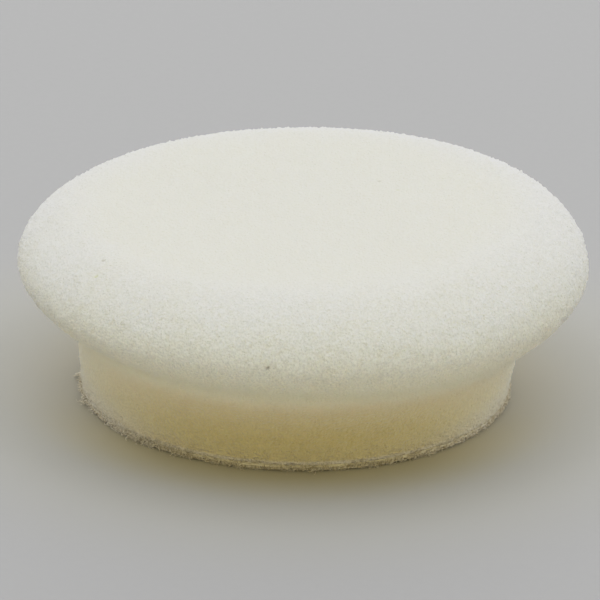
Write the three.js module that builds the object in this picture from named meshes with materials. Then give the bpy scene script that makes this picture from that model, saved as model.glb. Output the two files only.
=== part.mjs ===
// A foam polishing pad with a loop-fabric back, in millimetres.
//
// The foam is cut like a mushroom: a wide head with a flat working face, and a narrower neck that
// carries the fabric. The origin is the centre of the loop face, where the pad meets its backing
// plate, and +Z runs along the axis of rotation to the working face.

import * as THREE from 'three';

// Backing, from the loop face up: heights of its three layers
const PILE_HEIGHT = 1;
const GROUND_THICKNESS = 0.5;
const FILM_THICKNESS = 0.25;
const PILE_SPLAY = 0.5; // how far the outermost loops lean outwards at the loop face

// Foam block: radii
const BASE_RADIUS = 56.75; // bottom of the neck, cut flush with the backing
const WAIST_RADIUS = 59.2; // top of the neck, where the unrounded undercut would arrive level
const HEAD_RADIUS = 75; // widest ring
const FACE_RADIUS = 56.5; // flat part of the working face

// Foam block: heights above the bottom of the neck
const WAIST_HEIGHT = 20.1;
const RING_HEIGHT = 33.5;
const FOAM_HEIGHT = 48.5;

const FILLET_REACH = 8; // how far the rounding between them runs, outwards and down the neck

// How each curve bends: 1 is a quarter ellipse, 2 a straight diagonal
const SHOULDER_BEND = 1;
const UNDERCUT_BEND = 1.3;

// Faceting
const SEGMENTS = 96;
const SHOULDER_STEPS = 12;
const UNDERCUT_STEPS = 6;
const FILLET_STEPS = 6;
const TANGENT_STEP = 1e-4; // the small turn, in radians, that a tangent is measured over

// Heights of the joints between layers
const GROUND_BOTTOM = PILE_HEIGHT;
const FILM_BOTTOM = GROUND_BOTTOM + GROUND_THICKNESS;
const FOAM_BOTTOM = FILM_BOTTOM + FILM_THICKNESS;

/** Turns an outline of [radius, height] pairs, from the axis below to the axis above, about +Z. */
function turned(name, outline, material) {
  const points = outline.map(([radius, height]) => new THREE.Vector2(radius, height));
  const geometry = new THREE.LatheGeometry(points, SEGMENTS).rotateX(Math.PI / 2);
  const mesh = new THREE.Mesh(geometry, material);
  mesh.name = name;
  return mesh;
}

/** A flat round layer. Its edge slopes if the two radii differ. */
function layer(name, bottom, thickness, bottomRadius, topRadius, material) {
  const top = bottom + thickness;
  return turned(name, [[0, bottom], [bottomRadius, bottom], [topRadius, top], [0, top]], material);
}

/**
 * A point on the quarter turn of outline that leaves the widest ring upright and arrives level at
 * another radius and height. The angle runs from 0 at the ring to a right angle there.
 */
function pointFromRing(radius, height, bend, angle) {
  const outwards = Math.cos(angle) ** bend;
  const along = Math.sin(angle) ** bend;
  return new THREE.Vector2(
    radius + (HEAD_RADIUS - radius) * outwards,
    RING_HEIGHT + (height - RING_HEIGHT) * along,
  );
}

/** Evenly turned points from the widest ring, which is left out, to an angle, which is included. */
function curveFromRing(radius, height, bend, angle, steps) {
  return Array.from({ length: steps }, (_, step) => (
    pointFromRing(radius, height, bend, (angle * (step + 1)) / steps)
  ));
}

const undercutPoint = (angle) => pointFromRing(WAIST_RADIUS, WAIST_HEIGHT, UNDERCUT_BEND, angle);

/** The rounded corner between the neck and the undercut, from the neck up, smooth at both ends. */
function waistFillet(undercutEnd) {
  const end = undercutPoint(undercutEnd);
  const inwards = end.clone().sub(undercutPoint(undercutEnd - TANGENT_STEP));
  const base = new THREE.Vector2(BASE_RADIUS, 0);
  const neck = new THREE.Vector2(WAIST_RADIUS, WAIST_HEIGHT).sub(base);
  // the corner that is rounded off is where the undercut, run straight on, meets the neck
  const share = end.clone().sub(base).cross(inwards) / neck.cross(inwards);
  const corner = base.clone().addScaledVector(neck, share);
  const neckPoint = corner.clone().lerp(base, FILLET_REACH / corner.y);
  return new THREE.QuadraticBezierCurve(neckPoint, corner, end).getPoints(FILLET_STEPS);
}

function foamBody() {
  const undercutEnd = Math.acos((FILLET_REACH / (HEAD_RADIUS - WAIST_RADIUS)) ** (1 / UNDERCUT_BEND));
  const undercut = curveFromRing(
    WAIST_RADIUS, WAIST_HEIGHT, UNDERCUT_BEND, undercutEnd, UNDERCUT_STEPS,
  ).reverse();
  const shoulder = curveFromRing(
    FACE_RADIUS, FOAM_HEIGHT, SHOULDER_BEND, Math.PI / 2, SHOULDER_STEPS,
  );
  const outline = [
    [0, 0],
    [BASE_RADIUS, 0],
    ...waistFillet(undercutEnd).map((point) => point.toArray()),
    ...undercut.slice(1).map((point) => point.toArray()), // its first point already ends the fillet
    [HEAD_RADIUS, RING_HEIGHT],
    ...shoulder.map((point) => point.toArray()),
    [0, FOAM_HEIGHT],
  ];
  const foam = new THREE.MeshStandardMaterial({ color: 0xe2e0d2, roughness: 0.95, metalness: 0 });
  const body = turned('foam_body', outline, foam);
  body.position.z = FOAM_BOTTOM;
  return body;
}

function adhesiveFilm() {
  const film = new THREE.MeshStandardMaterial({ color: 0xece6cf, roughness: 0.45, metalness: 0 });
  return layer('adhesive_film', FILM_BOTTOM, FILM_THICKNESS, BASE_RADIUS, BASE_RADIUS, film);
}

function loopGroundFabric() {
  const knit = new THREE.MeshStandardMaterial({ color: 0xdcd8c8, roughness: 0.9, metalness: 0 });
  return layer('loop_ground_fabric', GROUND_BOTTOM, GROUND_THICKNESS, BASE_RADIUS, BASE_RADIUS, knit);
}

function loopPile() {
  const yarn = new THREE.MeshStandardMaterial({ color: 0xe6e2d2, roughness: 0.85, metalness: 0 });
  return layer('loop_pile', 0, PILE_HEIGHT, BASE_RADIUS + PILE_SPLAY, BASE_RADIUS, yarn);
}

const polishingPad = new THREE.Group();
polishingPad.name = 'polishing_pad';
polishingPad.add(foamBody(), adhesiveFilm(), loopGroundFabric(), loopPile());

export default polishingPad;
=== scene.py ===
"""Looks of a foam polishing pad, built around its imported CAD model. Metres, +Z up."""

import math

import bpy
import numpy as np
from mathutils import Matrix, Vector, noise


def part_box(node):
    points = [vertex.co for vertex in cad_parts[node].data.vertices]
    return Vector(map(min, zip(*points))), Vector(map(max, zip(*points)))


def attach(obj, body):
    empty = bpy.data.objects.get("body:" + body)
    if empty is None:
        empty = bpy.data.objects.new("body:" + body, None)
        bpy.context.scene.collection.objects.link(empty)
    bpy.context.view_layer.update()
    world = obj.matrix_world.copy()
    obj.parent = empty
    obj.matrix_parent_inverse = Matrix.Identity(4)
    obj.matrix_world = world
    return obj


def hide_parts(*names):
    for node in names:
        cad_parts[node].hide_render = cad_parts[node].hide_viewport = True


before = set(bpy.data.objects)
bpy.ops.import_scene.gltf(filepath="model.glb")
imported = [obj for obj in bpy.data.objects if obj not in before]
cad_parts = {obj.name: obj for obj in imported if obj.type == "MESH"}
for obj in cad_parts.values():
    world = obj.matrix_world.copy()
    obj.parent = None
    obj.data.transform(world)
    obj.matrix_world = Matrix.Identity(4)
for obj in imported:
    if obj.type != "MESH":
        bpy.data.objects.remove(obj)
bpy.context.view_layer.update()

MM = 0.001

# ---------------------------------------------------------------- sizes, from the frame
FOAM_LOW, FOAM_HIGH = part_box("foam_body")
GROUND_LOW, GROUND_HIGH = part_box("loop_ground_fabric")
FOAM_BOTTOM = FOAM_LOW.z
FOAM_HEIGHT = FOAM_HIGH.z - FOAM_LOW.z
HEAD_RADIUS = FOAM_HIGH.x
BASE_RADIUS = GROUND_HIGH.x

# the foam's outline between those sizes; heights are above the bottom of the neck
WAIST_RADIUS = 59.2 * MM
FACE_RADIUS = 56.5 * MM
WAIST_HEIGHT = 20.1 * MM
RING_HEIGHT = 33.5 * MM
SHOULDER_BEND = 1  # 1 is a quarter ellipse, 2 a straight diagonal
UNDERCUT_BEND = 1.3
FILLET_REACH = 8 * MM  # how far the rounding under the head runs, outwards and down the neck

# a hand-cut pad is not quite true: the head sits to one side of its neck, and is thicker there
HEAD_SHIFT = 1.44 * MM
THICKER_ABOVE = 0.109  # share that the height above the ring gains from the middle to +X
THICKER_BELOW = 0.16

# how finely the forms are divided
CURVE_POINTS, FILLET_POINTS = 400, 60
FOAM_GRID = 170  # cells across the flat face; the rings below it have four times as many points
FABRIC_GRID = 120
LOOP_STATIONS, FRINGE_STATIONS, FUZZ_STATIONS = 6, 7, 6
TINY = 1e-12  # keeps a length that is divided by from being zero

# one seed for each random form
SKIN_SEED, FABRIC_SEED, PILE_SEED, EDGE_SEED, FRINGE_SEED, FUZZ_SEED = 4, 11, 21, 57, 33, 78


# ---------------------------------------------------------------- mesh helpers
def mesh_object(name, points, faces):
    """A smooth-shaded mesh object from an array of points and a list of faces of any length."""
    mesh = bpy.data.meshes.new(name)
    mesh.from_pydata(points.tolist(), [], faces)
    mesh.validate()
    mesh.update()
    mesh.polygons.foreach_set("use_smooth", [True] * len(mesh.polygons))
    piece = bpy.data.objects.new(name, mesh)
    bpy.context.scene.collection.objects.link(piece)
    return piece


def disc_grid(cells):
    """A square grid pressed into a unit disc: its points, its quads, and its rim in turn order."""
    steps = np.linspace(-1, 1, cells + 1)
    a, b = np.meshgrid(steps, steps, indexing="ij")
    wide = np.abs(a) >= np.abs(b)
    with np.errstate(divide="ignore", invalid="ignore"):
        radius = np.where(wide, a, b)
        angle = np.where(wide, (math.pi / 4) * (b / a), math.pi / 2 - (math.pi / 4) * (a / b))
    angle = np.nan_to_num(angle)  # the centre
    points = np.stack([radius * np.cos(angle), radius * np.sin(angle)], -1).reshape(-1, 2)
    index = np.arange((cells + 1) ** 2).reshape(cells + 1, cells + 1)
    rim = np.concatenate([index[-1, :-1], index[:0:-1, -1], index[0, :0:-1], index[:-1, 0]])
    start = int(np.argmin(np.abs(np.arctan2(points[rim, 1], points[rim, 0]))))
    quads = np.stack([index[:-1, :-1], index[1:, :-1], index[1:, 1:], index[:-1, 1:]], -1)
    return points, quads.reshape(-1, 4), np.roll(rim, -start)


def ring_quads(lower, upper):
    """Quads between two rings of vertex numbers, wound so that they face away from the axis."""
    return np.stack([lower, np.roll(lower, -1), np.roll(upper, -1), upper], -1)


def tubes(name, paths, radii, sides_axis, around=3):
    """One closed tube along each path. paths is (tubes, stations, 3), radii (tubes, stations)."""
    count, stations, _ = paths.shape
    along = np.gradient(paths, axis=1)
    along /= np.linalg.norm(along, axis=2, keepdims=True) + TINY
    side = sides_axis[:, None, :] - along * np.sum(along * sides_axis[:, None, :], 2, keepdims=True)
    side /= np.linalg.norm(side, axis=2, keepdims=True) + TINY
    other = np.cross(along, side)
    turn = np.arange(around) * (2 * math.pi / around)
    ring = (
        side[:, :, None, :] * np.cos(turn)[None, None, :, None]
        + other[:, :, None, :] * np.sin(turn)[None, None, :, None]
    )
    points = (paths[:, :, None, :] + ring * radii[:, :, None, None]).reshape(-1, 3)
    index = np.arange(count * stations * around).reshape(count, stations, around)
    following = np.roll(index, -1, axis=2)
    walls = np.stack(
        [index[:, :-1], following[:, :-1], following[:, 1:], index[:, 1:]], -1
    ).reshape(-1, 4)
    first = index[:, 0, ::-1].reshape(-1, around)
    last = index[:, -1].reshape(-1, around)
    return mesh_object(name, points, walls.tolist() + first.tolist() + last.tolist())


# ---------------------------------------------------------------- the foam's form
# marks on the foam: (degrees round from +X, radius in mm, height in mm above the neck's bottom,
# width in mm, depth in mm, kind). A pore is open, and the shade inside it is painted dark; a fleck
# is yellow.
PORE, FLECK = "pore", "fleck"
MARKS = [
    (-96.4, 75.0, 34.5, 0.9, 0.6, PORE),
    (214.2, 62.0, 47.7, 0.9, 0.5, PORE),
    (45, 27.7, 48.5, 0.8, 0.45, PORE),
    (218.1, 67.1, 45.8, 1.0, 0.2, FLECK),
    (28, 27.8, 48.5, 0.7, 0.15, FLECK),
    (100, 70.0, 43.0, 1.1, 0.6, PORE),
    (20, 59.2, 11.0, 1.0, 0.5, PORE),
    (150, 64.0, 22.0, 1.1, 0.6, PORE),
]

# the smooth unevenness of the skin: (size, height) of its grain, its lumps and its swell
SKIN = ((1.5 * MM, 0.12 * MM), (9 * MM, 0.10 * MM), (38 * MM, 0.28 * MM))


def foam_outline(spacing):
    """[radius, height] down the side of the foam, from the edge of the flat face to the base."""

    def curve_from_ring(radius, height, bend):
        angle = np.linspace(0, math.pi / 2, CURVE_POINTS)
        r = radius + (HEAD_RADIUS - radius) * np.cos(angle).clip(0) ** bend
        z = RING_HEIGHT + (height - RING_HEIGHT) * np.sin(angle) ** bend
        return np.stack([r, z], -1)

    shoulder = curve_from_ring(FACE_RADIUS, FOAM_HEIGHT, SHOULDER_BEND)[::-1]
    undercut = curve_from_ring(WAIST_RADIUS, WAIST_HEIGHT, UNDERCUT_BEND)
    undercut = undercut[undercut[:, 0] > WAIST_RADIUS + FILLET_REACH]
    base = np.array([BASE_RADIUS, 0])
    neck = np.array([WAIST_RADIUS, WAIST_HEIGHT]) - base
    inwards = undercut[-1] - undercut[-2]
    # the rounding's control point, where the neck's line crosses the undercut's tangent
    share = np.linalg.solve(np.column_stack([neck, -inwards]), undercut[-1] - base)[0]
    corner = base + neck * share
    lower = corner + (base - corner) * FILLET_REACH / corner[1]
    t = np.linspace(0, 1, FILLET_POINTS)[:, None]
    fillet = (1 - t) ** 2 * undercut[-1] + 2 * t * (1 - t) * corner + t**2 * lower
    line = np.concatenate([shoulder, undercut[1:], fillet[1:], [base]])
    run = np.concatenate([[0], np.cumsum(np.linalg.norm(np.diff(line, axis=0), axis=1))])
    at = np.linspace(0, run[-1], round(run[-1] / spacing) + 1)
    return np.stack([np.interp(at, run, line[:, 0]), np.interp(at, run, line[:, 1])], -1)


def lopsided(points):
    """Moves foam points, given from the bottom of the neck up, to the pad's real uneven form."""
    x, y, z = points.T
    share = x / HEAD_RADIUS
    above = RING_HEIGHT + (z - RING_HEIGHT) * (1 + THICKER_ABOVE * share)
    below = RING_HEIGHT - (RING_HEIGHT - z) * (1 + THICKER_BELOW * share)
    waist = RING_HEIGHT - (RING_HEIGHT - WAIST_HEIGHT) * (1 + THICKER_BELOW * share)
    neck = z * waist / WAIST_HEIGHT
    height = np.where(z > RING_HEIGHT, above, np.where(z > WAIST_HEIGHT, below, neck))
    shift = HEAD_SHIFT * np.clip(z / RING_HEIGHT, 0, 1)
    return np.stack([x + shift, y, height + FOAM_BOTTOM], -1)


def foam_body():
    """The whole foam block, its skin roughened by the cut cells, with open pores and flecks."""
    around = 4 * FOAM_GRID
    disc, quads, upper = disc_grid(FOAM_GRID)
    face = np.column_stack([disc * FACE_RADIUS, np.full(len(disc), FOAM_HEIGHT)])
    outline = foam_outline(2 * math.pi * HEAD_RADIUS / around)
    turn = np.arange(around) * (2 * math.pi / around)
    rings = [
        np.column_stack([r * np.cos(turn), r * np.sin(turn), np.full(around, z)])
        for r, z in outline[1:]
    ]
    points = np.concatenate([face, *rings])
    faces = quads.tolist()
    for first in range(len(face), len(points), around):
        lower = np.arange(first, first + around)
        faces += ring_quads(lower, upper).tolist()
        upper = lower
    faces.append(upper[::-1].tolist())  # the flat underside
    piece = mesh_object("foam_block", lopsided(points), faces)
    roughen(piece, len(points) - around)
    return piece


def coarseness(points):
    """How rough the cut cells leave the skin: most on the shoulder, least under the head."""
    everywhere, on_shoulder, on_neck = 0.05 * MM, 0.15 * MM, 0.06 * MM
    reach = np.linalg.norm(points[:, :2], axis=1)
    up = points[:, 2] - FOAM_BOTTOM
    shoulder = np.interp(reach, [FACE_RADIUS, FACE_RADIUS + 8 * MM], [0, on_shoulder])
    head = np.interp(up, [24 * MM, 33 * MM], [0, 1])
    neck = np.interp(up, [8 * MM, 14 * MM], [1, 0])
    return everywhere + shoulder * head + on_neck * neck


def roughen(piece, free):
    """Displaces the first `free` vertices along their normals; stores the marks as attributes."""
    mesh = piece.data
    count = len(mesh.vertices)
    normals = np.empty(count * 3)
    mesh.vertex_normals.foreach_get("vector", normals)
    points = np.empty(count * 3)
    mesh.vertices.foreach_get("co", points)
    normals, points = normals.reshape(-1, 3), points.reshape(-1, 3)
    rng = np.random.default_rng(SKIN_SEED)
    height = sum(
        rise * np.array([noise.noise(Vector(p) / size) for p in points]) for size, rise in SKIN
    )
    height += coarseness(points) * rng.standard_normal(count)
    marked = {PORE: np.zeros(count), FLECK: np.zeros(count)}
    for degrees, radius, z, width, depth, kind in MARKS:
        angle = math.radians(degrees)
        place = np.array([[radius * math.cos(angle), radius * math.sin(angle), z]]) * MM
        gap = np.linalg.norm(points - lopsided(place), axis=1)
        centre = points[np.argmin(gap)]
        near = np.exp(-((np.linalg.norm(points - centre, axis=1) / (width * MM / 2)) ** 2))
        height -= depth * MM * near
        marked[kind] = np.maximum(marked[kind], near)
    height[free:] = 0
    moved = points + normals * height[:, None]
    mesh.vertices.foreach_set("co", moved.ravel())
    for name, values in marked.items():
        attribute = mesh.attributes.new(name, "FLOAT", "POINT")
        attribute.data.foreach_set("value", values.astype(np.float32))
    mesh.update()


# ---------------------------------------------------------------- the backing's form
STITCH_RELIEF, STITCH_PITCH = 0.08 * MM, 1.9 * MM
FABRIC_BULGE = 0.12 * MM  # how far the middle of the cut edge stands out
EDGE_WANDER = ((0.10, 7), (0.07, 19), (0.06, 43), (0.05, 83))  # size in mm, waves round the edge

PILE_PITCH = 1.08 * MM  # between the feet of neighbouring loops
PILE_INSET = 0.45 * MM  # from the fabric's edge to the outermost loops of the field
EDGE_PITCH = 0.46 * MM
EDGE_ROWS = ((0.62, 0.0, 0.10), (0.30, 0.35, 0.30), (0.05, 0.75, 0.42))  # inset, raise, lean, mm

SHORT_ENDS = 1900
FRINGE_INSET = 0.40 * MM  # from the fabric's edge to the roots of the cut ends
# the edge is most ragged at one place: where that is, how far it spreads, and how many clumps
# it has there and all round
RAGGED_TUFTS = (math.radians(215), math.radians(24), 26, 34)
RAGGED_FUZZ = (math.radians(212), math.radians(26), 45, 90)


def ground_fabric():
    """The knitted ground: a thin disc with ribs of stitches on its loop side and a cut edge."""
    disc, quads, rim = disc_grid(FABRIC_GRID)
    rng = np.random.default_rng(FABRIC_SEED)
    turn = np.arctan2(disc[:, 1], disc[:, 0])
    reach = np.linalg.norm(disc, axis=1)
    phases = rng.uniform(0, 6.3, len(EDGE_WANDER))
    wander = sum(
        size * np.sin(waves * turn + phase) for (size, waves), phase in zip(EDGE_WANDER, phases)
    )
    # a high power of the reach moves the edge and leaves the middle alone
    spread = disc * (BASE_RADIUS + (0.05 + wander[:, None]) * MM * reach[:, None] ** 8)
    knit = np.sin(spread[:, 0] / STITCH_PITCH * 2 * math.pi) * np.cos(
        spread[:, 1] / STITCH_PITCH * 2 * math.pi
    )
    under = np.column_stack([spread, GROUND_LOW.z + STITCH_RELIEF * knit])
    over = np.column_stack([spread, np.full(len(disc), GROUND_HIGH.z)])
    middle = (under[rim] + over[rim]) / 2
    middle[:, :2] *= 1 + FABRIC_BULGE / BASE_RADIUS
    points = np.concatenate([under, over, middle])
    low, high = rim, rim + len(disc)
    mid = np.arange(2 * len(disc), 2 * len(disc) + len(rim))
    faces = quads[:, ::-1].tolist() + (quads + len(disc)).tolist()
    faces += ring_quads(low, mid).tolist() + ring_quads(mid, high).tolist()
    return mesh_object("knit_ground", points, faces)


def hooked_paths(rng, feet, heading, width, height, lean):
    """Arched loops that leave the ground fabric downwards and come back to it."""
    count = len(feet)
    bend = np.linspace(0, math.pi, LOOP_STATIONS)
    across = -np.cos(bend) * (0.5 + 0.22 * np.sin(bend))  # a loop is wider than the gap of its feet
    drop = np.sin(bend) ** 0.7
    run = np.stack([np.cos(heading), np.sin(heading), np.zeros(count)], -1)
    paths = feet[:, None, :] + run[:, None, :] * (across[None, :, None] * width[:, None, None])
    paths[:, :, 2] -= drop[None, :] * height[:, None]
    paths[:, :, :2] += lean[:, None, :] * drop[None, :, None]
    side = np.stack([-np.sin(heading), np.cos(heading), np.zeros(count)], -1)
    return paths, side + rng.normal(0, 0.05, side.shape)


def loop_pile():
    """The raised loops under the ground fabric, in two pieces: the middle and the outer half."""
    rng = np.random.default_rng(PILE_SEED)
    rows = np.arange(-BASE_RADIUS, BASE_RADIUS, PILE_PITCH * math.sqrt(3) / 2)
    feet = np.array(
        [
            (x + (PILE_PITCH / 2 if row % 2 else 0), y)
            for row, y in enumerate(rows)
            for x in np.arange(-BASE_RADIUS, BASE_RADIUS, PILE_PITCH)
        ]
    )
    feet += rng.normal(0, 0.12 * MM, feet.shape)
    reach = np.linalg.norm(feet, axis=1)
    halfway = BASE_RADIUS / math.sqrt(2)  # the radius with as much area inside it as outside
    pieces = []
    for name, inner, outer in (
        ("pile_middle", 0, halfway),
        ("pile_outer", halfway, BASE_RADIUS - PILE_INSET),
    ):
        here = feet[(reach >= inner) & (reach < outer)]
        count = len(here)
        start = np.column_stack([here, np.full(count, GROUND_LOW.z + 0.05 * MM)])
        heading = rng.normal(0.5, 0.9, count)
        width = rng.uniform(0.75, 1.25, count) * MM
        height = rng.uniform(0.72, 0.99, count) * MM
        lean = rng.normal(0, 0.16 * MM, (count, 2))
        paths, side = hooked_paths(rng, start, heading, width, height, lean)
        radii = np.repeat(rng.uniform(0.075, 0.11, (count, 1)) * MM, LOOP_STATIONS, axis=1)
        paths[:, :, 2] = np.maximum(paths[:, :, 2], radii)
        pieces.append(tubes(name, paths, radii, side))
    return pieces


def edge_loops():
    """Rows of loops that stand along the die-cut edge and lean out over it."""
    rng = np.random.default_rng(EDGE_SEED)
    pieces = []
    count = round(2 * math.pi * BASE_RADIUS / EDGE_PITCH)
    for inset, up, lean_out in EDGE_ROWS:
        angle = (np.arange(count) + rng.uniform(-0.45, 0.45, count)) * (2 * math.pi / count)
        out = np.stack([np.cos(angle), np.sin(angle)], -1)
        reach = BASE_RADIUS - inset * MM + rng.normal(0, 0.06 * MM, count)
        start_z = GROUND_LOW.z + up * MM * rng.uniform(0.5, 1.0, count)
        feet = np.column_stack([out * reach[:, None], start_z])
        heading = angle + math.pi / 2 + rng.normal(0, 0.7, count)
        width = rng.uniform(0.55, 1.1, count) * MM
        height = np.minimum(rng.uniform(0.7, 1.0, count) * MM, start_z - 0.1 * MM)
        lean = out * (np.abs(rng.normal(lean_out, 0.14, count)) * MM)[:, None]
        paths, side = hooked_paths(rng, feet, heading, width, height, lean)
        radii = np.repeat(rng.uniform(0.08, 0.17, (count, 1)) * MM, LOOP_STATIONS, axis=1)
        paths[:, :, 2] = np.maximum(paths[:, :, 2], radii)
        # loops are missing in patches, where two waves round the edge and chance are all low
        waves = np.sin(angle * 61 + inset * 9) + np.sin(angle * 137 + 2)
        kept = waves + rng.normal(0, 1.0, count) > -0.9
        pieces.append((paths[kept], radii[kept], side[kept]))
    paths, radii, side = (np.concatenate(part) for part in zip(*pieces))
    return tubes("pile_edge", paths, radii, side)


def edge_fringe():
    """Cut ends of yarn along the die-cut edge, and a few looser tufts that stray well past it."""
    rng = np.random.default_rng(FRINGE_SEED)
    ragged_at, spread, ragged_count, count_round = RAGGED_TUFTS
    ragged = rng.normal(ragged_at, spread, ragged_count)
    clumps = np.concatenate([ragged, rng.uniform(0, 2 * math.pi, count_round)])
    ends = rng.uniform(0, 2 * math.pi, SHORT_ENDS)
    sizes = rng.integers(5, 18, len(clumps))
    strays = np.repeat(clumps, sizes) + rng.normal(0, 0.012, sizes.sum())
    tuft = np.repeat(np.minimum(rng.gamma(2.2, 0.5, len(clumps)), 2.2), sizes)
    angle = np.concatenate([ends, strays])
    count = len(angle)
    loose = np.concatenate([np.zeros(SHORT_ENDS), tuft])
    out = np.stack([np.cos(angle), np.sin(angle), np.zeros(count)], -1)
    tangent = np.stack([-np.sin(angle), np.cos(angle), np.zeros(count)], -1)
    along = np.linspace(0, 1, FRINGE_STATIONS)[None, :]
    start_z = rng.uniform(0.1, 1.7, count) * MM
    root = out * (BASE_RADIUS - FRINGE_INSET) + np.array([0, 0, 1]) * start_z[:, None]
    reach = (rng.gamma(2.0, 0.13, count) + loose * rng.uniform(0.3, 1.0, count)) * MM
    sweep = (rng.normal(0, 0.55, count) * MM * (1 + 0.5 * loose))[:, None]
    rise = (rng.normal(-0.3, 0.45, count) * MM)[:, None]
    curl = (rng.uniform(0.1, 0.42, count) * MM)[:, None]
    spin = rng.uniform(0, 2 * math.pi, count)[:, None]
    # a stray end goes out, bends over and half curls back
    forward = np.sin(along * math.pi * 0.62) * (reach + FRINGE_INSET)[:, None]
    coil = along * 4.2 + spin
    sideways = sweep * along**1.5 + curl * np.sin(coil) * along
    paths = root[:, None, :] + out[:, None, :] * forward[:, :, None]
    paths += tangent[:, None, :] * sideways[:, :, None]
    paths[:, :, 2] += rise * along + curl * 0.8 * (np.cos(coil) - np.cos(spin)) * along
    thick = rng.uniform(0.05, 0.14, count) * MM
    radii = thick[:, None] * (1 - 0.5 * along**3)
    paths[:, :, 2] = np.maximum(paths[:, :, 2], radii)
    side = tangent + np.array([0, 0, 0.3])
    short, long = slice(SHORT_ENDS), slice(SHORT_ENDS, None)
    return (
        tubes("edge_fringe", paths[short], radii[short], side[short]),
        tubes("stray_tufts", paths[long], radii[long], side[long]),
    )


def cut_fuzz():
    """Short fibres dragged up over the bottom of the foam when the pad was cut to size."""
    rng = np.random.default_rng(FUZZ_SEED)
    ragged_at, spread, ragged_count, count_round = RAGGED_FUZZ
    clumps = np.concatenate(
        [rng.normal(ragged_at, spread, ragged_count), rng.uniform(0, 2 * math.pi, count_round)]
    )
    angle = np.concatenate([c + rng.normal(0, 0.016, rng.integers(3, 11)) for c in clumps])
    count = len(angle)
    along = np.linspace(0, 1, FUZZ_STATIONS)[None, :]
    start_z = FOAM_BOTTOM + rng.uniform(-0.4, 0.2, count) * MM
    climb = rng.gamma(2.2, 0.34, count) * MM
    height = start_z[:, None] + climb[:, None] * along**0.8
    slide = rng.normal(0, 0.5, count) * MM
    bow = rng.uniform(0.05, 0.35, count) * MM
    turn = angle[:, None] + (slide[:, None] * along**1.4) / BASE_RADIUS
    flare = (WAIST_RADIUS - BASE_RADIUS) / WAIST_HEIGHT
    neck = BASE_RADIUS + np.clip(height - FOAM_BOTTOM, 0, None) * flare
    away = neck + 0.06 * MM + bow[:, None] * np.sin(math.pi * along)
    paths = np.stack([np.cos(turn) * away, np.sin(turn) * away, height], -1)
    paths[:, :, 0] += HEAD_SHIFT * (height - FOAM_BOTTOM).clip(0) / RING_HEIGHT
    radii = rng.uniform(0.045, 0.10, count)[:, None] * MM * (1 - 0.5 * along**3)
    side = np.stack([-np.sin(angle), np.cos(angle), np.zeros(count)], -1)
    return tubes("cut_fuzz", paths, radii, side)


# ---------------------------------------------------------------- materials
def colour(red, green, blue):
    return (red, green, blue, 1.0)


# painted shade: the warm darkening of the backing at the front, where it lies in the foam's shade
FRONT_SHADE = colour(0.62, 0.51, 0.225)
MILD_SHADOW, DEEP_SHADOW = colour(0.70, 0.68, 0.63), colour(0.62, 0.57, 0.47)


class Nodes:
    """A short way to build one material's node tree."""

    def __init__(self, name):
        self.material = bpy.data.materials.new(name)
        self.material.use_nodes = True
        self.tree = self.material.node_tree
        self.shader = self.tree.nodes["Principled BSDF"]
        self.place = self.add("ShaderNodeTexCoord").outputs["Object"]

    def add(self, kind, **settings):
        node = self.tree.nodes.new(kind)
        for key, value in settings.items():
            setattr(node, key, value)
        return node

    def put(self, node, values):
        """Sets or links inputs by name or number."""
        for key, value in values.items():
            if isinstance(value, bpy.types.NodeSocket):
                self.tree.links.new(value, node.inputs[key])
            else:
                node.inputs[key].default_value = value
        return node

    def xyz(self):
        """The three parts of the place on the object."""
        return self.put(self.add("ShaderNodeSeparateXYZ"), {0: self.place}).outputs

    def noise(self, size, detail=2.0, roughness=0.5):
        """Cloudy noise with features of about the given size."""
        node = self.add("ShaderNodeTexNoise")
        values = {"Vector": self.place, "Scale": 1 / size}
        values.update({"Detail": detail, "Roughness": roughness})
        return self.put(node, values).outputs["Fac"]

    def cells(self, size):
        """Distance from the nearest of scattered points, which lie about the given size apart."""
        node = self.add("ShaderNodeTexVoronoi")
        return self.put(node, {"Vector": self.place, "Scale": 1 / size}).outputs["Distance"]

    def attribute(self, name):
        return self.add("ShaderNodeAttribute", attribute_name=name).outputs["Fac"]

    def math(self, operation, a, b=0.0):
        node = self.add("ShaderNodeMath", operation=operation)
        return self.put(node, {0: a, 1: b}).outputs[0]

    def times(self, a, b):
        return self.math("MULTIPLY", a, b)

    def lessen(self, value, by, most):
        """Multiplies a value by 1 where `by` is 0, falling to 1 - most where it is 1."""
        return self.times(value, self.math("SUBTRACT", 1.0, self.times(by, most)))

    def from_axis(self, x, y):
        """Distance from the axis of rotation."""
        square = self.math("ADD", self.math("POWER", x, 2.0), self.math("POWER", y, 2.0))
        return self.math("SQRT", square)

    def ramp(self, value, low, high, to_low=0.0, to_high=1.0):
        """A smooth step; low may be the larger of the two ends."""
        node = self.add("ShaderNodeMapRange", interpolation_type="SMOOTHSTEP")
        values = {"Value": value, "From Min": low, "From Max": high}
        values.update({"To Min": to_low, "To Max": to_high})
        return self.put(node, values).outputs["Result"]

    def mix(self, share, first, second, blend="MIX"):
        node = self.add("ShaderNodeMix", data_type="RGBA", blend_type=blend)
        return self.put(node, {0: share, 6: first, 7: second}).outputs[2]

    def shade(self, share, base, by):
        return self.mix(share, base, by, blend="MULTIPLY")

    def bump(self, height, distance, strength):
        node = self.add("ShaderNodeBump")
        self.put(node, {"Height": height, "Distance": distance, "Strength": strength})
        return node.outputs["Normal"]


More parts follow.
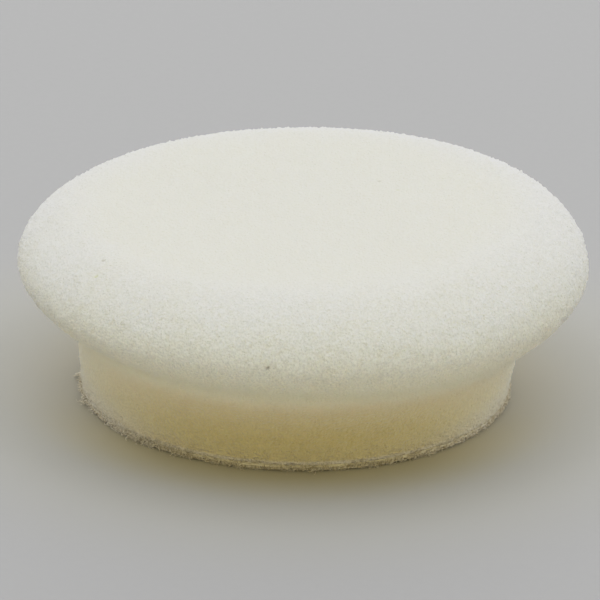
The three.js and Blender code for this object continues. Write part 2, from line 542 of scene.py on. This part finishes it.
def foam_material():
    """Cream foam with painted light and shade: a painted sheen whitens the rim, painted warm shade
    lies under the head, and a darker khaki shade is painted at the front of the neck.
    """
    n = Nodes("cream_foam")
    x, y, z = n.xyz()
    radius = n.from_axis(x, y)

    def by_height(start, end, at_start=0.0, at_end=1.0):
        """A ramp between two heights in millimetres above the bottom of the neck."""
        return n.ramp(z, FOAM_BOTTOM + start * MM, FOAM_BOTTOM + end * MM, at_start, at_end)

    # where the colours change
    # painted sheen: the foam is painted whiter towards the rim, where it catches light at a grazing
    # angle
    rim = n.ramp(radius, 46 * MM, 66 * MM)
    # painted shade: the underside of the head is painted warmer and brighter, for the warm light in
    # the shade there and to soften the dark crease at the waist
    under = by_height(42, 20)
    # painted shade: the lower neck is painted a darker khaki, strongest in front, where it lies
    # deepest in the head's shade
    neck = n.math("ADD", by_height(20.5, 14.5, 0.0, 0.55), by_height(17, 6, 0.0, 0.45))
    neck = n.times(neck, n.ramp(y, -15 * MM, -62 * MM, 0.05, 1.0))
    # painted highlight: a pale line along the foam's bottom edge
    painted_edge_highlight = by_height(1.4, 0.3, 0.0, 0.55)
    # painted highlight: the bottom of the neck is painted paler at its sides and back than in front,
    # where side light falls on it
    painted_side_highlight = n.times(by_height(8, 0.5), n.ramp(y, -52 * MM, -20 * MM, 0.0, 0.5))
    waist = n.times(by_height(8, 17), by_height(31, 23))

    cells = n.cells(0.72 * MM)
    strands = n.noise(0.62 * MM, 2.5, 0.6)
    patches = n.ramp(n.noise(24 * MM, 3.0, 0.55), 0.35, 0.7, 0.0, 0.35)
    # painted shade: the cut cells' shading is painted as a darker grain, stronger towards the rim
    painted_cell_shade = n.times(n.ramp(strands, 0.60, 0.34), n.ramp(radius, 46 * MM, 66 * MM, 0.45, 1.0))
    # painted light: that painted shade is lessened at the front of the neck and most at the waist,
    # which lightens the crease under the head
    painted_cell_shade = n.lessen(n.lessen(painted_cell_shade, neck, 0.5), waist, 0.8)

    base = n.mix(rim, colour(0.95, 0.92, 0.72), colour(0.97, 0.955, 0.81))
    base = n.mix(patches, base, colour(0.935, 0.90, 0.70))
    base = n.mix(under, base, colour(0.99, 0.86, 0.54))
    base = n.mix(neck, base, colour(0.685, 0.53, 0.195))
    base = n.mix(painted_edge_highlight, base, colour(0.95, 0.85, 0.60))
    base = n.mix(painted_side_highlight, base, colour(1.0, 0.94, 0.76))
    base = n.shade(painted_cell_shade, base, colour(0.86, 0.86, 0.86))
    # painted shade: the inside of each open pore is painted dark
    base = n.mix(n.times(n.attribute(PORE), 0.85), base, colour(0.24, 0.21, 0.13))
    base = n.mix(n.times(n.attribute(FLECK), 0.7), base, colour(0.62, 0.66, 0.22))

    glow = n.math("ADD", by_height(0, 7, 0.1, 0.68), n.times(waist, 0.32))
    height = n.math("ADD", n.times(cells, 0.8), n.times(strands, 0.9))
    n.put(
        n.shader,
        {
            "Base Color": base,
            "Roughness": 0.93,
            "Specular IOR Level": 0.18,
            "Subsurface Weight": glow,
            "Subsurface Radius": (1.0, 0.93, 0.8),
            "Subsurface Scale": 16 * MM,
            "Sheen Weight": 0.17,
            "Sheen Roughness": 0.45,
            "Normal": n.bump(height, 1.1 * MM, 1.0),
        },
    )
    return n.material


def front_shaded(n, base):
    """Painted warm shade on the backing, strongest in front, like the neck's."""
    _, y, _ = n.xyz()
    return n.mix(n.ramp(y, -25 * MM, -57 * MM, 0.0, 0.85), base, FRONT_SHADE)


def film_material():
    """Hazy hot-melt film with the marks of its glue dots."""
    n = Nodes("hot_melt_film")
    dots = n.ramp(n.cells(1.4 * MM), 0.35, 0.1, 0.0, 0.5)
    haze = n.noise(0.5 * MM, 3.0)
    base = n.mix(n.ramp(haze, 0.3, 0.7), colour(0.68, 0.60, 0.38), colour(0.61, 0.52, 0.30))
    base = front_shaded(n, n.mix(dots, base, colour(0.60, 0.52, 0.33)))
    n.put(
        n.shader,
        {
            "Base Color": base,
            "Roughness": n.ramp(haze, 0.2, 0.8, 0.7, 0.9),
            "Specular IOR Level": 0.25,
            "Subsurface Weight": 0.3,
            "Subsurface Radius": (1.0, 0.9, 0.6),
            "Subsurface Scale": 1 * MM,
            "Normal": n.bump(haze, 0.08 * MM, 0.8),
        },
    )
    return n.material


def knit_material():
    """Fine stitches, in wales along Y and courses along X, with fuzz over them."""
    n = Nodes("knit_ground")
    wale_pitch, course_pitch = 0.95 * MM, 0.7 * MM
    x, y, _ = n.xyz()
    wale = n.math("SINE", n.times(x, 2 * math.pi / wale_pitch))
    course = n.math("SINE", n.times(y, 2 * math.pi / course_pitch))
    stitch = n.times(wale, course)
    fuzz = n.noise(0.25 * MM, 3.0, 0.65)
    base = n.mix(n.ramp(stitch, -0.6, 0.7), colour(0.60, 0.54, 0.38), colour(0.73, 0.67, 0.52))
    base = n.mix(n.ramp(fuzz, 0.35, 0.7, 0.0, 0.5), base, colour(0.80, 0.75, 0.61))
    height = n.math("ADD", n.times(stitch, 0.5), fuzz)
    n.put(
        n.shader,
        {
            "Base Color": front_shaded(n, base),
            "Roughness": 0.88,
            "Specular IOR Level": 0.25,
            "Sheen Weight": 0.2,
            "Normal": n.bump(height, 0.1 * MM, 0.9),
        },
    )
    return n.material


def yarn_material(name, light, dark, shadow):
    """Fine filaments between a light and a dark colour, with shadow between the tufts."""
    n = Nodes(name)
    strands = n.noise(0.12 * MM, 2.0, 0.6)
    tufts = n.noise(0.55 * MM, 2.0)
    base = front_shaded(n, n.mix(n.ramp(strands, 0.3, 0.7), dark, light))
    n.put(
        n.shader,
        {
            "Base Color": n.shade(n.ramp(tufts, 0.44, 0.60), base, shadow),
            "Roughness": 0.62,
            "Specular IOR Level": 0.35,
            "Sheen Weight": 0.17,
            "Subsurface Weight": 0.25,
            "Subsurface Radius": (1.0, 0.95, 0.8),
            "Subsurface Scale": 0.3 * MM,
            "Normal": n.bump(strands, 0.02 * MM, 0.6),
        },
    )
    return n.material


def floor_material():
    """Pale grey, with a faint warm tint and lift close to the pad, where the foam reflects light."""
    n = Nodes("studio_floor")
    x, y, _ = n.xyz()
    away = n.math("SUBTRACT", n.from_axis(x, y), BASE_RADIUS)
    near = n.times(n.ramp(away, 23 * MM, -2 * MM), n.ramp(y, -5 * MM, -60 * MM, 0.15, 1.0))
    lift = n.times(n.ramp(away, 30 * MM, -4 * MM), n.ramp(y, -62 * MM, -35 * MM, 0.3, 1.0))
    grain = n.noise(2.5 * MM, 3.0)
    base = n.mix(grain, colour(0.330, 0.330, 0.330), colour(0.342, 0.342, 0.342))
    base = n.mix(n.ramp(away, 75 * MM, 10 * MM), base, colour(0.347, 0.345, 0.312))
    base = n.mix(near, base, colour(0.375, 0.335, 0.19))
    base = n.shade(lift, base, colour(1.27, 1.26, 1.27))
    n.put(n.shader, {"Base Color": base, "Roughness": 0.8, "Specular IOR Level": 0.2})
    return n.material


# ---------------------------------------------------------------- studio
VIEW_ELEVATION = math.radians(21.84)
VIEW_DISTANCE = 1.35
VIEW_WIDTH = 158.2 * MM  # what the picture's width spans at the pad
VIEW_ROLL = math.radians(1.12)
AIM_RIGHT, AIM_UP = -0.81 * MM, -10.27 * MM  # from the middle of the widest ring
SENSOR = 36.0
FLOOR_REACH = 4  # from the middle to each side

LIGHT_DISTANCE = 6.0
# soft panels: azimuth, elevation and the width and height that they span, in degrees; brightness
LIGHTS = {
    "overhead": (90, 89, 59, 59, 1.40),
    "canopy": (90, 75, 110, 80, 0.84),
    "behind": (90, 15, 78, 30, 2.5),
    "right": (0, 15, 78, 30, 0.84),
    "left": (180, 15, 78, 30, 0.34),
    "front": (-90, 6, 100, 12, 2.6),
}
ROOM_LIGHT = 0.36
BACKDROP = 0.43

# the view's tone curve: where highlights start to roll off, what they tend to, and its points
ROLL_OFF, BRIGHTEST, ROLL_STEPS = 0.45, 0.86, 8
COMBINED_CURVE = 3  # after red, green and blue


def camera():
    lens = bpy.data.cameras.new("camera")
    lens.sensor_width = SENSOR
    lens.lens = SENSOR * VIEW_DISTANCE / VIEW_WIDTH
    lens.clip_start, lens.clip_end = 0.05, 50
    eye = bpy.data.objects.new("camera", lens)
    bpy.context.scene.collection.objects.link(eye)
    middle = Vector((HEAD_SHIFT, 0, FOAM_BOTTOM + RING_HEIGHT))
    back = Vector((0, -math.cos(VIEW_ELEVATION), math.sin(VIEW_ELEVATION)))
    right = Vector((1, 0, 0))
    up = back.cross(right)
    turned_right = right * math.cos(VIEW_ROLL) + up * math.sin(VIEW_ROLL)
    turned_up = up * math.cos(VIEW_ROLL) - right * math.sin(VIEW_ROLL)
    place = middle + back * VIEW_DISTANCE
    aim = middle + turned_right * AIM_RIGHT + turned_up * AIM_UP
    z_axis = (place - aim).normalized()
    x_axis = turned_up.cross(z_axis).normalized()
    y_axis = z_axis.cross(x_axis)
    turn = Matrix((x_axis, y_axis, z_axis)).transposed().to_4x4()
    eye.matrix_world = Matrix.Translation(place) @ turn
    bpy.context.scene.camera = eye


def softbox(name, azimuth, elevation, width, height, brightness):
    """A far, evenly bright panel that faces the pad, oval if it is high up."""
    turn, rise = math.radians(azimuth), math.radians(elevation)
    outwards = Vector(
        (math.cos(turn) * math.cos(rise), math.sin(turn) * math.cos(rise), math.sin(rise))
    )
    oval = elevation > 45
    lamp = bpy.data.lights.new(name, "AREA")
    lamp.shape = "ELLIPSE" if oval else "RECTANGLE"
    lamp.size = 2 * LIGHT_DISTANCE * math.tan(math.radians(width / 2))
    lamp.size_y = 2 * LIGHT_DISTANCE * math.tan(math.radians(height / 2))
    area = lamp.size * lamp.size_y * (math.pi / 4 if oval else 1)
    lamp.energy = brightness * math.pi * area
    box = bpy.data.objects.new(name, lamp)
    bpy.context.scene.collection.objects.link(box)
    box.location = outwards * LIGHT_DISTANCE
    box.rotation_euler = outwards.to_track_quat("Z", "Y").to_euler()
    box.visible_camera = False


def film_response(scene):
    """Highlights roll off gently above the middle greys, as on a photograph."""
    view = scene.view_settings
    view.view_transform = "Standard"
    view.use_curve_mapping = True
    mapping = view.curve_mapping
    mapping.extend = "HORIZONTAL"
    mapping.use_clip = False
    points = mapping.curves[COMBINED_CURVE].points
    points[0].location = (0, 0)
    points[1].location = (ROLL_OFF, ROLL_OFF)
    room = BRIGHTEST - ROLL_OFF
    for step in range(1, ROLL_STEPS + 1):
        light = ROLL_OFF + step * room / 2
        shown = ROLL_OFF + room * (1 - math.exp(-(light - ROLL_OFF) / room))
        points.new(light, shown)
    mapping.update()


def room_light(scene):
    """Even light from all round. The camera sees it a little brighter, so the horizon is soft."""
    world = bpy.data.worlds.new("studio")
    world.use_nodes = True
    tree = world.node_tree
    sky = tree.nodes["Background"]
    sky.inputs["Color"].default_value = (1, 1, 1, 1)
    seen_by_camera = tree.nodes.new("ShaderNodeLightPath").outputs["Is Camera Ray"]
    strength = tree.nodes.new("ShaderNodeMapRange")
    strength.inputs["To Min"].default_value = ROOM_LIGHT
    strength.inputs["To Max"].default_value = BACKDROP
    tree.links.new(seen_by_camera, strength.inputs["Value"])
    tree.links.new(strength.outputs["Result"], sky.inputs["Strength"])
    scene.world = world


def studio():
    scene = bpy.context.scene
    film_response(scene)
    room_light(scene)
    for name, settings in LIGHTS.items():
        softbox(name, *settings)
    corners = np.array([(-1, -1, 0), (1, -1, 0), (1, 1, 0), (-1, 1, 0)]) * FLOOR_REACH
    floor = mesh_object("floor", corners, [(0, 1, 2, 3)])
    floor.data.materials.append(floor_material())


# ---------------------------------------------------------------- assembly
def finish_piece(piece, material, slot, *nodes):
    piece.data.materials.append(material)
    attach(piece, "root")
    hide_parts(*nodes)


def main():
    camera()
    studio()

    foam = foam_body()
    finish_piece(foam, foam_material(), "foam", "foam_body")

    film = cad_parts["adhesive_film"]
    film.data.materials.clear()
    film.data.materials.append(film_material())

    ground = ground_fabric()
    finish_piece(ground, knit_material(), "knit_ground", "loop_ground_fabric")

    yarn = yarn_material(
        "loop_yarn", colour(0.95, 0.91, 0.78), colour(0.78, 0.72, 0.56), MILD_SHADOW
    )
    # painted shade: the yarn along the cut edge is darker, as it lies in shade under the foam
    shaded_edge_yarn = yarn_material(
        "shaded_edge_yarn", colour(0.93, 0.86, 0.69), colour(0.68, 0.60, 0.43), DEEP_SHADOW
    )
    lint = yarn_material(
        "stray_yarn", colour(0.99, 0.93, 0.77), colour(0.88, 0.80, 0.60), MILD_SHADOW
    )
    pile = loop_pile()
    edge = edge_loops()
    fringe, tufts = edge_fringe()
    fuzz = cut_fuzz()
    for pieces, material in ((pile, yarn), ((edge, fringe), shaded_edge_yarn), ((tufts, fuzz), lint)):
        for piece in pieces:
            finish_piece(piece, material, "loop_yarn", "loop_pile")


main()
